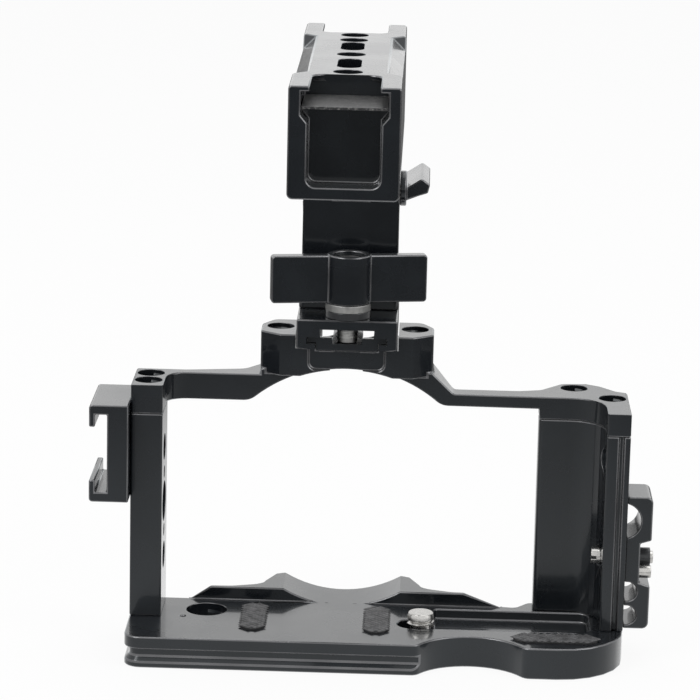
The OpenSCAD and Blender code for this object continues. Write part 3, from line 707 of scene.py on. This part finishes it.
class CAGE_OT_stage(CagePiece, bpy.types.Operator):
    """Camera, floor, backdrop and lights"""
    bl_idname = "cage.stage"
    bl_label = "Stage"

    # name, place, what it is aimed at, side in metres, watts
    lamps = (("key", (-0.55, -0.45, 0.85), (0, 0, 0.06), 0.5, 3.2),
             ("fill", (0.7, -0.35, 0.6), (0, 0, 0.06), 0.5, 1.8),
             ("top", (0.0, 0.25, 1.0), (0, 0, 0.05), 0.7, 2.6))

    def execute(self, context):
        scene = context.scene
        scene.view_settings.view_transform = "Standard"
        self.camera(scene, settings("stage"))
        self.world(scene)
        self.floor(scene)
        for lamp in self.lamps:
            self.lamp(scene, *lamp)
        return {"FINISHED"}

    def camera(self, scene, s):
        data = bpy.data.cameras.new("camera")
        data.sensor_width, data.lens = 36, s.lens
        data.clip_start, data.clip_end = 0.05, 20
        cam = bpy.data.objects.new("camera", data)
        scene.collection.objects.link(cam)
        yaw, pitch, roll = (math.radians(a) for a in (s.yaw, s.pitch, s.roll))
        ahead = Vector((-math.sin(yaw) * math.cos(pitch), math.cos(yaw) * math.cos(pitch), -math.sin(pitch)))
        side = Vector((math.cos(yaw), math.sin(yaw), 0))
        up = side.cross(ahead)
        side, up = side * math.cos(roll) + up * math.sin(roll), up * math.cos(roll) - side * math.sin(roll)
        cam.matrix_world = Matrix.Translation(s.place) @ Matrix((side, up, -ahead)).transposed().to_4x4()
        scene.camera = cam

    def lamp(self, scene, name, at, aim, size, power):
        light = bpy.data.lights.new(name, "AREA")
        light.shape, light.size, light.energy = "SQUARE", size, power
        lamp = bpy.data.objects.new(name, light)
        scene.collection.objects.link(lamp)
        lamp.location = at
        lamp.rotation_euler = (Vector(aim) - Vector(at)).to_track_quat("-Z", "Y").to_euler()

    def shown(self, tree):
        """1 for rays that show the background itself, 0 for light on the object."""
        path = tree.nodes.new("ShaderNodeLightPath")
        last = path.outputs["Is Camera Ray"]
        for name in ("Is Glossy Ray", "Is Transmission Ray"):
            both = tree.nodes.new("ShaderNodeMath")
            both.operation = "MAXIMUM"
            tree.links.new(last, both.inputs[0])
            tree.links.new(path.outputs[name], both.inputs[1])
            last = both.outputs[0]
        return last

    def world(self, scene):
        """Half light on the object, and white where the background itself is seen."""
        world = bpy.data.worlds.new("studio")
        world.use_nodes = True
        scene.world = world
        tree = world.node_tree
        tree.nodes.clear()
        out = tree.nodes.new("ShaderNodeOutputWorld")
        mix = tree.nodes.new("ShaderNodeMixShader")
        tree.links.new(self.shown(tree), mix.inputs["Fac"])
        for side, strength in ((1, 0.5), (2, 1.0)):
            light = tree.nodes.new("ShaderNodeBackground")
            light.inputs["Color"].default_value = (1, 1, 1, 1)
            light.inputs["Strength"].default_value = strength
            tree.links.new(light.outputs[0], mix.inputs[side])
        tree.links.new(mix.outputs[0], out.inputs["Surface"])

    def floor(self, scene):
        """White floor that keeps the object's shadow, and in gloss shows a painted pool of light round the
        origin.
        """
        bm = bmesh.new()
        bmesh.ops.create_grid(bm, x_segments=8, y_segments=8, size=6)
        mesh = bpy.data.meshes.new("floor")
        bm.to_mesh(mesh)
        bm.free()
        obj = bpy.data.objects.new("floor", mesh)
        scene.collection.objects.link(obj)
        obj.location.z = -0.05 * MM  # just under the plate, so that the two faces never share a height
        g = Graph("white floor")
        g.shader.inputs["Base Color"].default_value = (0.9, 0.9, 0.9, 1)
        g.shader.inputs["Roughness"].default_value = 0.7
        # painted pool of light: gloss on the object sees the floor glow, full round the origin and fading with
        # the distance from it
        pool_full_radius, pool_end_radius, pool_centre_glow, pool_rim_glow = 0.05, 0.34, 1.0, 0.10
        away = g.add("ShaderNodeVectorMath", operation="LENGTH")
        g.join(g.coords, "Object", away, 0)
        painted_light_pool = g.spread(away, "Value", pool_centre_glow, pool_rim_glow, pool_full_radius, pool_end_radius)
        path = g.add("ShaderNodeLightPath")
        level = g.add("ShaderNodeMath", operation="MAXIMUM")
        g.join(painted_light_pool, "Result", level, 0)
        g.join(path, "Is Camera Ray", level, 1)
        glow = g.add("ShaderNodeEmission")
        g.join(level, 0, glow, "Strength")
        mix, part = g.add("ShaderNodeMixShader"), g.add("ShaderNodeMath", operation="MULTIPLY")
        g.tree.links.new(self.shown(g.tree), part.inputs[0])
        part.inputs[1].default_value = 0.92  # the rest is the lit floor, with its shadow
        g.join(part, 0, mix, "Fac")
        g.tree.links.new(g.shader.outputs[0], mix.inputs[1])
        g.tree.links.new(glow.outputs[0], mix.inputs[2])
        g.join(mix, 0, g.out, "Surface")
        mesh.materials.append(g.material)


PIECES = (CAGE_OT_stage, CAGE_OT_base_plate, CAGE_OT_side_plates, CAGE_OT_top_frame, CAGE_OT_side_shoe,
          CAGE_OT_fixings, CAGE_OT_grip_strips, CAGE_OT_camera_screw, CAGE_OT_cable_clamp,
          CAGE_OT_handle_base, CAGE_OT_wing_knob, CAGE_OT_handle_bar, CAGE_OT_threads)
GROUPS = {"metal": CageMetal, "threads": CageThreads, "rubber": CageRubber, "stage": CageStage}


class CAGE_PT_pieces(bpy.types.Panel):
    """Lists the pieces of the camera cage and their settings"""
    bl_idname = "CAGE_PT_pieces"
    bl_label = "Camera cage"
    bl_space_type = "VIEW_3D"
    bl_region_type = "UI"
    bl_category = "Camera cage"

    def draw(self, context):
        for name, group in GROUPS.items():
            box = self.layout.box()
            for key in group.__annotations__:
                box.prop(settings(name), key)
        for op in PIECES:
            self.layout.operator(op.bl_idname)


def register():
    for cls in (*GROUPS.values(), *PIECES, CAGE_PT_pieces):
        bpy.utils.register_class(cls)
    for name, group in GROUPS.items():
        setattr(bpy.types.Scene, "cage_" + name, PointerProperty(type=group))


def unregister():
    for name in GROUPS:
        delattr(bpy.types.Scene, "cage_" + name)
    for cls in (CAGE_PT_pieces, *reversed(PIECES), *reversed(GROUPS.values())):
        bpy.utils.unregister_class(cls)


def main():
    register()
    bpy.ops.cage.stage()
    bpy.ops.cage.base_plate()
    bpy.ops.cage.side_plates()
    bpy.ops.cage.top_frame()
    bpy.ops.cage.side_shoe()
    bpy.ops.cage.fixings()
    bpy.ops.cage.grip_strips()
    bpy.ops.cage.camera_screw()
    bpy.ops.cage.cable_clamp()
    bpy.ops.cage.handle_base()
    bpy.ops.cage.wing_knob()
    bpy.ops.cage.handle_bar()
    bpy.ops.cage.threads()


if __name__ == "__main__":
    main()
